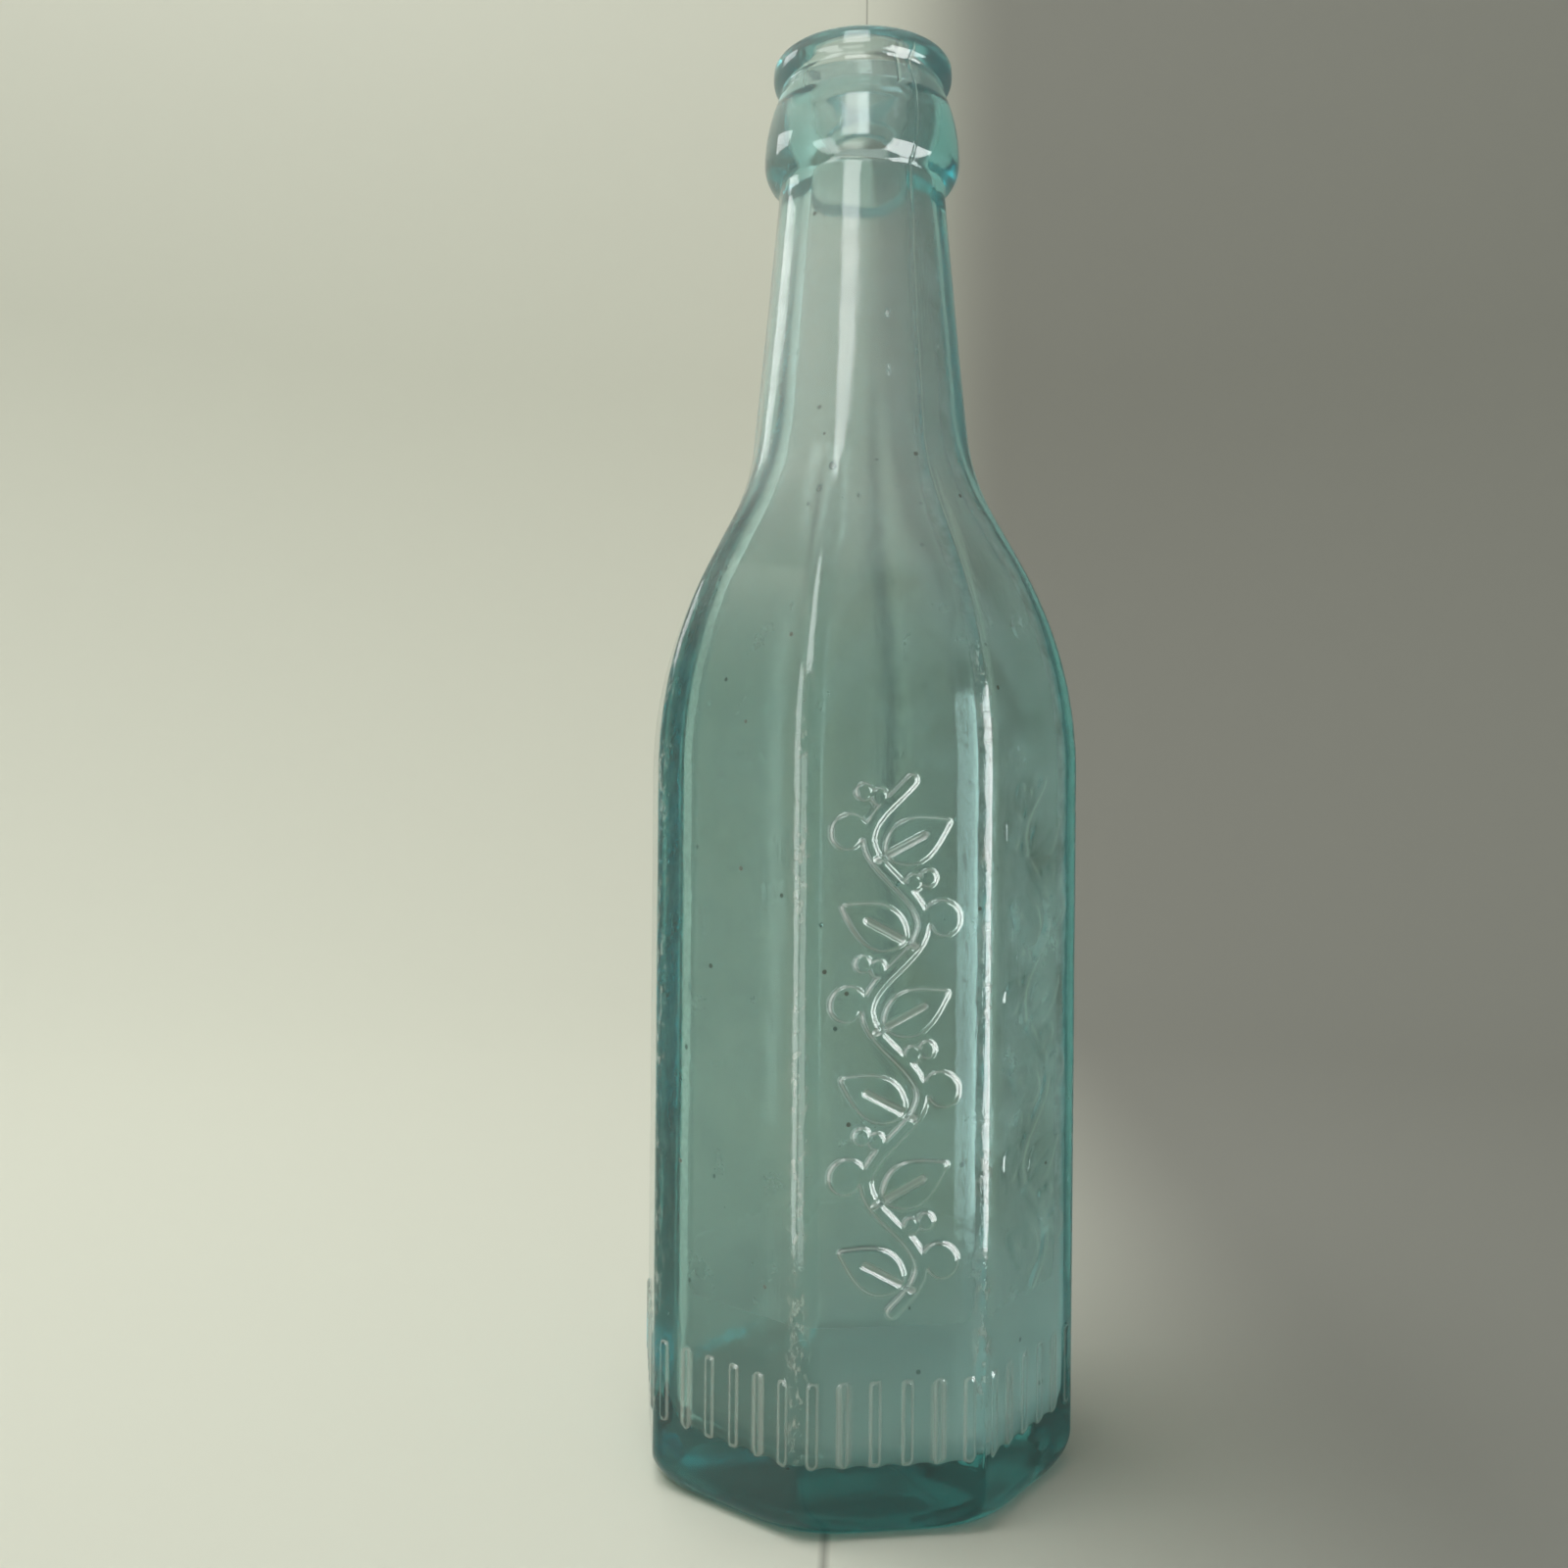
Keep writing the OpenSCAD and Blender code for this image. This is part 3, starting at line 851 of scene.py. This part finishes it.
# %% Grit, and the colour of what scatters
# Grit from the furnace: dark grains half a millimetre wide, about 7 mm apart in every direction.
# Only the few that lie at a surface show.
grains = add(tree, "ShaderNodeTexVoronoi", {"Vector": where, "Scale": 1000 / 7}).outputs["Distance"]
grit = add(tree, "ShaderNodeMapRange", {
    "Value": grains, "From Min": 0.035, "From Max": 0.055, "To Min": 0.85, "To Max": 0.0})
haze = add(tree, "ShaderNodeMix", {"Factor": inner_side, "A": wear_and_flank_highlight, "B": stain})
haze = add(tree, "ShaderNodeMath", {0: haze, 1: grit}, operation="MAXIMUM")
clear = add(tree, "ShaderNodeMath", {0: 1.0, 1: haze}, operation="SUBTRACT")
# Stain is a grey-green lime, and the scuffed neck is a nearly white frost. The body's haze colour is also
# kept darker than the neck's as painted shade.
bloom_and_painted_shade = add(tree, "ShaderNodeMix", {
    "Factor": neck_share, "A": linear("#d3dad5"), "B": linear("#fcf6f4")},
    data_type="RGBA").outputs["Result"]
bloom_and_painted_shade = add(tree, "ShaderNodeMix", {
    "Factor": grit, "A": bloom_and_painted_shade, "B": linear("#3f4740")}, data_type="RGBA").outputs["Result"]
print("haze:", len(tree.nodes), "nodes so far")

# %% Softness and fine relief of the surface
# The neck is frosted in patches of 6 mm, up to a quarter for the same reason as the haze, and
# the inside of the bottle is softer than the outside.
patches = add(tree, "ShaderNodeTexNoise", {
    "Vector": where, "Scale": 1000 / 6, "Detail": 1.0})
patches = add(tree, "ShaderNodeMapRange", {
    "Value": patches, "From Min": 0.25, "From Max": 0.75, "To Min": 0.10, "To Max": 0.25})
softness = add(tree, "ShaderNodeMix", {"Factor": neck_share, "A": 0.03, "B": patches})
softness = add(tree, "ShaderNodeMix", {"Factor": finish_share, "A": softness, "B": 0.05})
dull = add(tree, "ShaderNodeMix", {"Factor": inner_side, "A": softness, "B": 0.10})
# The blow left fine upright wrinkles, about a millimetre apart and two centimetres long.
wrinkles = add(tree, "ShaderNodeTexNoise", {
    "Vector": add(tree, "ShaderNodeMapping", {"Vector": where, "Scale": (1.0, 1.0, 0.06)}),
    "Scale": 1000 / 1.2, "Detail": 4.0, "Roughness": 0.6})
# The specks that rub the corners dull also roughen them.
roughened = add(tree, "ShaderNodeMath", {
    0: scuffs, 1: 1.6, 2: wrinkles}, operation="MULTIPLY_ADD")
skin_normal = add(tree, "ShaderNodeBump", {
    "Strength": 1.0, "Distance": 0.025 * MM, "Height": roughened})
# Under them lie shallow dimples of 3 to 4 mm, which make straight reflections unsteady.
dimples = add(tree, "ShaderNodeTexNoise", {
    "Vector": where, "Scale": 1000 / 3.5, "Detail": 2.0})
skin_normal = add(tree, "ShaderNodeBump", {
    "Strength": 1.0, "Distance": 0.04 * MM, "Height": dimples, "Normal": skin_normal})
print("surface:", len(tree.nodes), "nodes so far")

# %% Aqua soda-lime glass, blown in a mould
# Clear and smooth, so the eye reads it by what it bends and mirrors. Soda-lime glass has an
# index of 1.52.
surface = add(tree, "ShaderNodeBsdfPrincipled", {
    "Base Color": bloom_and_painted_shade, "Roughness": dull, "IOR": 1.52, "Transmission Weight": clear,
    "Normal": skin_normal})
depth = add(tree, "ShaderNodeVolumeAbsorption", {
    "Color": tuple(1 - take / max(TAKES) for take in TAKES) + (1,), "Density": max(TAKES)})
add(tree, "ShaderNodeOutputMaterial", {"Surface": surface, "Volume": depth})
print(glass.name, "has", len(tree.nodes), "nodes")

# %% Press the relief


def grown(base, tree, sizes):
    """The plain mesh that a tree makes of an object. The object itself is then removed."""
    modifier = base.modifiers.new(tree.name, "NODES")
    modifier.node_group = tree
    for item in tree.interface.items_tree:
        if item.in_out == "INPUT" and item.name in sizes:
            modifier[item.identifier] = sizes[item.name]
        elif item.in_out == "INPUT" and item.name == "Glass":
            modifier[item.identifier] = glass
    depsgraph = bpy.context.evaluated_depsgraph_get()
    made = bpy.data.meshes.new_from_object(base.evaluated_get(depsgraph), depsgraph=depsgraph)
    bpy.data.objects.remove(base)
    return made


pressed_mesh = grown(blank, relief, relief_sizes)
pressed_mesh.name = "bottle_glass"
bottle = in_scene("bottle_glass", pressed_mesh)
pressed_mesh.calc_loop_triangles()
print("pressed glass:", len(pressed_mesh.loop_triangles), "triangles")

# %% [markdown]
# ## Seeds
#
# Small bubbles of gas, which glassmakers call seeds, are caught in the wall. A
# second tree scatters small ones over a surface in the middle of the wall, with
# a fixed seed, and sets larger ones where the photograph shows them. Each is a
# stretched ball with its faces turned to the air inside it.

# %% A surface in the middle of the wall, and the spots of the large seeds
SEED_LOW, SEED_HIGH, SEED_ROWS = 14, 168, 7


def mid_wall_point(z):
    """Panel and corner distance of the middle of the wall at a height above the base."""
    return [(out + hollow) / 2 for out, hollow in zip(outer_point(z), inner_point(z))]


bm = bmesh.new()
for name in ("inside", "corner", "size"):
    bm.verts.layers.float.new(name)
middle = [(z, *mid_wall_point(z)) for z in range(SEED_LOW, SEED_HIGH + 1, SEED_ROWS)]
skin(bm, middle, columns(steps=3, fan_start=17.0), 0.0)
# Degrees from the front, height, radius
large_seeds = [
    (8, 162.6, 0.5), (8, 154.8, 0.26), (8, 153.9, 0.3),
    (-23, 140, 0.45), (-27, 136.6, 0.4), (-31, 134.4, 0.22),
    (-72, 85.6, 0.3), (-69, 68, 0.42), (-60, 60.5, 0.25), (-74, 57, 0.2)]
for turn, z, size in large_seeds:
    angle = np.radians([turn - 90.0])
    r = ring(*mid_wall_point(z), angle)[0] * MM
    spot = bm.verts.new((r * math.cos(angle[0]), r * math.sin(angle[0]), z * MM))
    spot[bm.verts.layers.float["size"]] = size * MM
middle_mesh = bpy.data.meshes.new("middle_of_wall")
bm.to_mesh(middle_mesh)
bm.free()
middle_skin = in_scene("middle_of_wall", middle_mesh)
print("middle of the wall:", len(middle_mesh.polygons), "faces,", len(large_seeds), "large seeds")

# %% The tree that sets the seeds
seed_sizes = {
    "Per square metre": 2400.0,
    "Smallest": 0.09 * MM,
    "Largest": 0.26 * MM,
    "Stretch": 1.5,                  # the blow drew the bubbles out upwards
}
seeding, given = new_tree("seeds_in_the_wall", seed_sizes)
ball = add(seeding, "GeometryNodeMeshIcoSphere", {"Radius": 1.0, "Subdivisions": 2}).outputs["Mesh"]
ball = add(seeding, "GeometryNodeFlipFaces", {"Mesh": ball})
scattered = add(seeding, "GeometryNodeDistributePointsOnFaces", {
    "Mesh": given["Geometry"], "Density": given["Per square metre"], "Seed": 7}).outputs["Points"]
chance = add(seeding, "FunctionNodeRandomValue", {
    "Min": given["Smallest"], "Max": given["Largest"], "Seed": 3}, data_type="FLOAT").outputs["Value"]
size = add(seeding, "GeometryNodeInputNamedAttribute", {"Name": "size"}, data_type="FLOAT")
chosen = add(seeding, "ShaderNodeMath", {0: size, 1: 0.0}, operation="GREATER_THAN")
placed = add(seeding, "GeometryNodeMeshToPoints", {"Mesh": given["Geometry"], "Selection": chosen})
seeds = []
for points, radius in ((scattered, chance), (placed, size)):
    tall = add(seeding, "ShaderNodeMath", {0: radius, 1: given["Stretch"]}, operation="MULTIPLY")
    shape = add(seeding, "ShaderNodeCombineXYZ", {"X": radius, "Y": radius, "Z": tall})
    seeds.append(add(seeding, "GeometryNodeInstanceOnPoints", {
        "Points": points, "Instance": ball, "Scale": shape}))
done = add(seeding, "GeometryNodeJoinGeometry", {0: seeds})
done = add(seeding, "GeometryNodeRealizeInstances", {0: done})
done = add(seeding, "GeometryNodeSetShadeSmooth", {"Geometry": done})
done = add(seeding, "GeometryNodeSetMaterial", {0: done, "Material": given["Glass"]})
add(seeding, "NodeGroupOutput", {0: done})
print("seed tree:", len(seeding.nodes), "nodes")

# %% Set the seeds and join them to the bottle
seed_mesh = grown(middle_skin, seeding, seed_sizes)
bm = bmesh.new()
bm.from_mesh(pressed_mesh)
bm.from_mesh(seed_mesh)
bm.to_mesh(pressed_mesh)
bm.free()
for p in pressed_mesh.polygons:
    p.use_smooth = True
pressed_mesh.calc_loop_triangles()
print("seeds:", len(seed_mesh.polygons), "faces")
print("bottle with seeds:", len(pressed_mesh.loop_triangles), "triangles")

# %% [markdown]
# ## The studio
#
# Clear glass shows what stands round it, so the surroundings are half of its
# look. A flat backdrop would leave the other sides black. A round cove of plain
# paper is the floor and the backdrop in one. As in the photograph, its left
# side is pale and its right side is darkened with painted shade, and a fold runs
# back between them as a thin line of painted shade. One wide lamp overhead
# lights it. Bright cards round the bottle add the streaks that glass needs. Only
# the glass sees them, not the paper or the camera.

# %% The cove
COVE_FLOOR, COVE_CURVE, COVE_TOP = 0.35, 0.35, 1.1     # radius, bend and height in metres
FLOOR_GAP = 0.0003                 # the paper lies this far under the resting ring
profile = [(r, -FLOOR_GAP) for r in (0.05, 0.15, 0.25, COVE_FLOOR)]
profile += [(COVE_FLOOR + COVE_CURVE * math.sin(a), COVE_CURVE * (1 - math.cos(a)) - FLOOR_GAP)
            for a in np.linspace(0.1, math.pi / 2, 16)]
profile += [(COVE_FLOOR + COVE_CURVE, z) for z in (0.5, 0.7, 0.9, COVE_TOP)]
COVE_SIDES = 96
angles = np.linspace(0, 2 * math.pi, COVE_SIDES, False)
bm = bmesh.new()
rings = [[bm.verts.new((r * math.cos(a), r * math.sin(a), z)) for a in angles] for r, z in profile]
fill_strips(bm, rings)
bm.faces.new(rings[0][::-1])
cove_mesh = bpy.data.meshes.new("cove")
bm.to_mesh(cove_mesh)
bm.free()
for p in cove_mesh.polygons:
    p.use_smooth = True
cove = in_scene("cove", cove_mesh)
print("cove:", len(cove_mesh.polygons), "faces")

# %% Matt background paper
# Uncoated paper has no gloss at all. Its right side is darkened with painted shade. The fold is a thin dark
# line of painted shade, 1.8 mm wide with soft sides.
FOLD_TURN, FOLD_AT, FOLD_HALF = math.radians(10.4), -3 * MM, 0.9 * MM
SHADE_FROM, SHADE_TO = -20 * MM, 90 * MM
paper, tree = new_material("matt_background_paper")
where = add(tree, "ShaderNodeTexCoord").outputs["Object"]
beside = add(tree, "ShaderNodeSeparateXYZ", {0: add(tree, "ShaderNodeMapping", {
    "Vector": where, "Rotation": (0, 0, FOLD_TURN)})}).outputs["X"]
# Painted shade: the paper's colour darkens from its left side to its right.
painted_shade = add(tree, "ShaderNodeMapRange", {
    "Value": beside, "From Min": SHADE_FROM, "From Max": SHADE_TO},
    interpolation_type="SMOOTHSTEP")
tone = add(tree, "ShaderNodeMix", {
    "Factor": painted_shade, "A": linear("#d6d7cb"), "B": linear("#8e8e88")}, data_type="RGBA").outputs["Result"]
# The fold's dark line is painted shade, mixed into the paper's colour.
off_fold = add(tree, "ShaderNodeMath", {0: beside, 1: FOLD_AT}, operation="SUBTRACT")
off_fold = add(tree, "ShaderNodeMath", {0: off_fold}, operation="ABSOLUTE")
painted_crease_shade = add(tree, "ShaderNodeMapRange", {
    "Value": off_fold, "From Min": 0.0, "From Max": FOLD_HALF, "To Min": 0.5, "To Max": 0.0})
tone = add(tree, "ShaderNodeMix", {
    "Factor": painted_crease_shade, "A": tone, "B": linear("#3a3936")}, data_type="RGBA").outputs["Result"]
sheet = add(tree, "ShaderNodeBsdfPrincipled", {
    "Base Color": tone, "Roughness": 1.0, "Specular IOR Level": 0.0})
add(tree, "ShaderNodeOutputMaterial", {"Surface": sheet})
cove_mesh.materials.append(paper)
print(paper.name, "has", len(tree.nodes), "nodes")

# %% Lamps
world = bpy.data.worlds.new("studio")
bpy.context.scene.world = world
world.use_nodes = True
world.node_tree.nodes["Background"].inputs["Color"].default_value = linear("#aeb2aa")


def softbox(name, at, to, wide, high, radiance):
    """A rectangular lamp. Its power is its radiance times its area times pi."""
    lamp = bpy.data.lights.new(name, "AREA")
    lamp.shape = "RECTANGLE"
    lamp.size, lamp.size_y = wide, high
    lamp.energy = radiance * math.pi * wide * high
    box = in_scene(name, lamp)
    box.location = at
    box.rotation_mode = "QUATERNION"
    box.rotation_quaternion = (Vector(to) - Vector(at)).to_track_quat("-Z", "Y")
    box.visible_camera = False
    return box


def card(name, start, end, low, high, away, radiance):
    """A tall bright card that shows only in reflections. It takes a name, the two compass angles
    from the front between which the card stands, its lowest and highest point, its distance from
    the axis and its brightness."""
    turn = math.radians((start + end) / 2)
    wide = 2 * away * math.tan(math.radians((end - start) / 2))
    mid = (low + high) / 2
    at = (away * math.sin(turn), -away * math.cos(turn), mid)
    box = softbox(name, at, (0, 0, mid), wide, high - low, radiance)
    box.visible_diffuse = False
    box.visible_transmission = False
    return box


overhead = softbox("overhead", (-0.35, 0.05, 0.9), (0, 0.1, 0), 0.8, 0.8, 3.6)
overhead.visible_glossy = False
overhead.visible_transmission = False
CLOSE, FAR = 0.13, 0.40            # distances from the axis
card("right_card", 24, 76, 0.002, 0.15, CLOSE, 11.0)
card("front_card", -34, -8, 0.002, 0.11, CLOSE, 2.5)
card("left_card", -66, -44, 0.002, 0.165, CLOSE, 4.5)
card("front_window", -30, -2, 0.165, 0.33, CLOSE, 6.0)
card("left_window", -125, -99, 0.25, 0.40, FAR, 4.5)
# One more is seen only through the glass. It gives the pale band inside the right edge, and
# stands a little behind the first one, because two lamps in one plane would hide each other.
within = card("right_card_through_glass", 26, 70, 0.002, 0.15, CLOSE + 0.005, 7.0)
within.visible_transmission, within.visible_glossy = True, False

# Light that is caught in the thick edges turns many times before it leaves.
bpy.context.scene.cycles.max_bounces = 48
bpy.context.scene.cycles.glossy_bounces = 40
bpy.context.scene.cycles.transmission_bounces = 40
print(len(bpy.data.lights), "lamps")

# %% Camera
# It stands 210 mm away, 7 degrees left of the front, and looks level at the middle of the
# bottle. So close a camera makes the base look larger than the mouth, as in the photograph.
cam_turn = math.radians(-7.0)
toward = Vector((math.sin(cam_turn), -math.cos(cam_turn), 0))
right = Vector((math.cos(cam_turn), math.sin(cam_turn), 0))
cam_dist, cam_side, cam_h = 210.0, 10.8, 96.4
roll = math.radians(0.49)
focal_px, frame_px = 1438.0, 1600.0
SENSOR = 36.0
camera_data = bpy.data.cameras.new("camera")
camera_data.sensor_width = SENSOR
camera_data.lens = SENSOR * focal_px / frame_px
camera = in_scene("camera", camera_data)
cam_right = right * math.cos(roll) + Vector((0, 0, 1)) * math.sin(roll)
cam_up = Vector((0, 0, 1)) * math.cos(roll) - right * math.sin(roll)
place = toward * cam_dist - right * cam_side + Vector((0, 0, cam_h))
camera.matrix_world = Matrix((
    (cam_right.x, cam_up.x, toward.x, place.x * MM),
    (cam_right.y, cam_up.y, toward.y, place.y * MM),
    (cam_right.z, cam_up.z, toward.z, place.z * MM),
    (0, 0, 0, 1)))
camera_data.clip_start = 0.01
bpy.context.scene.camera = camera
bpy.context.scene.view_settings.view_transform = "Standard"
print("camera", [round(x, 4) for x in camera.matrix_world.translation])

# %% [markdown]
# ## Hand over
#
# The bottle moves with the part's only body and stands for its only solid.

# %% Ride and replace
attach(bottle, "root")
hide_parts("glass_bottle")
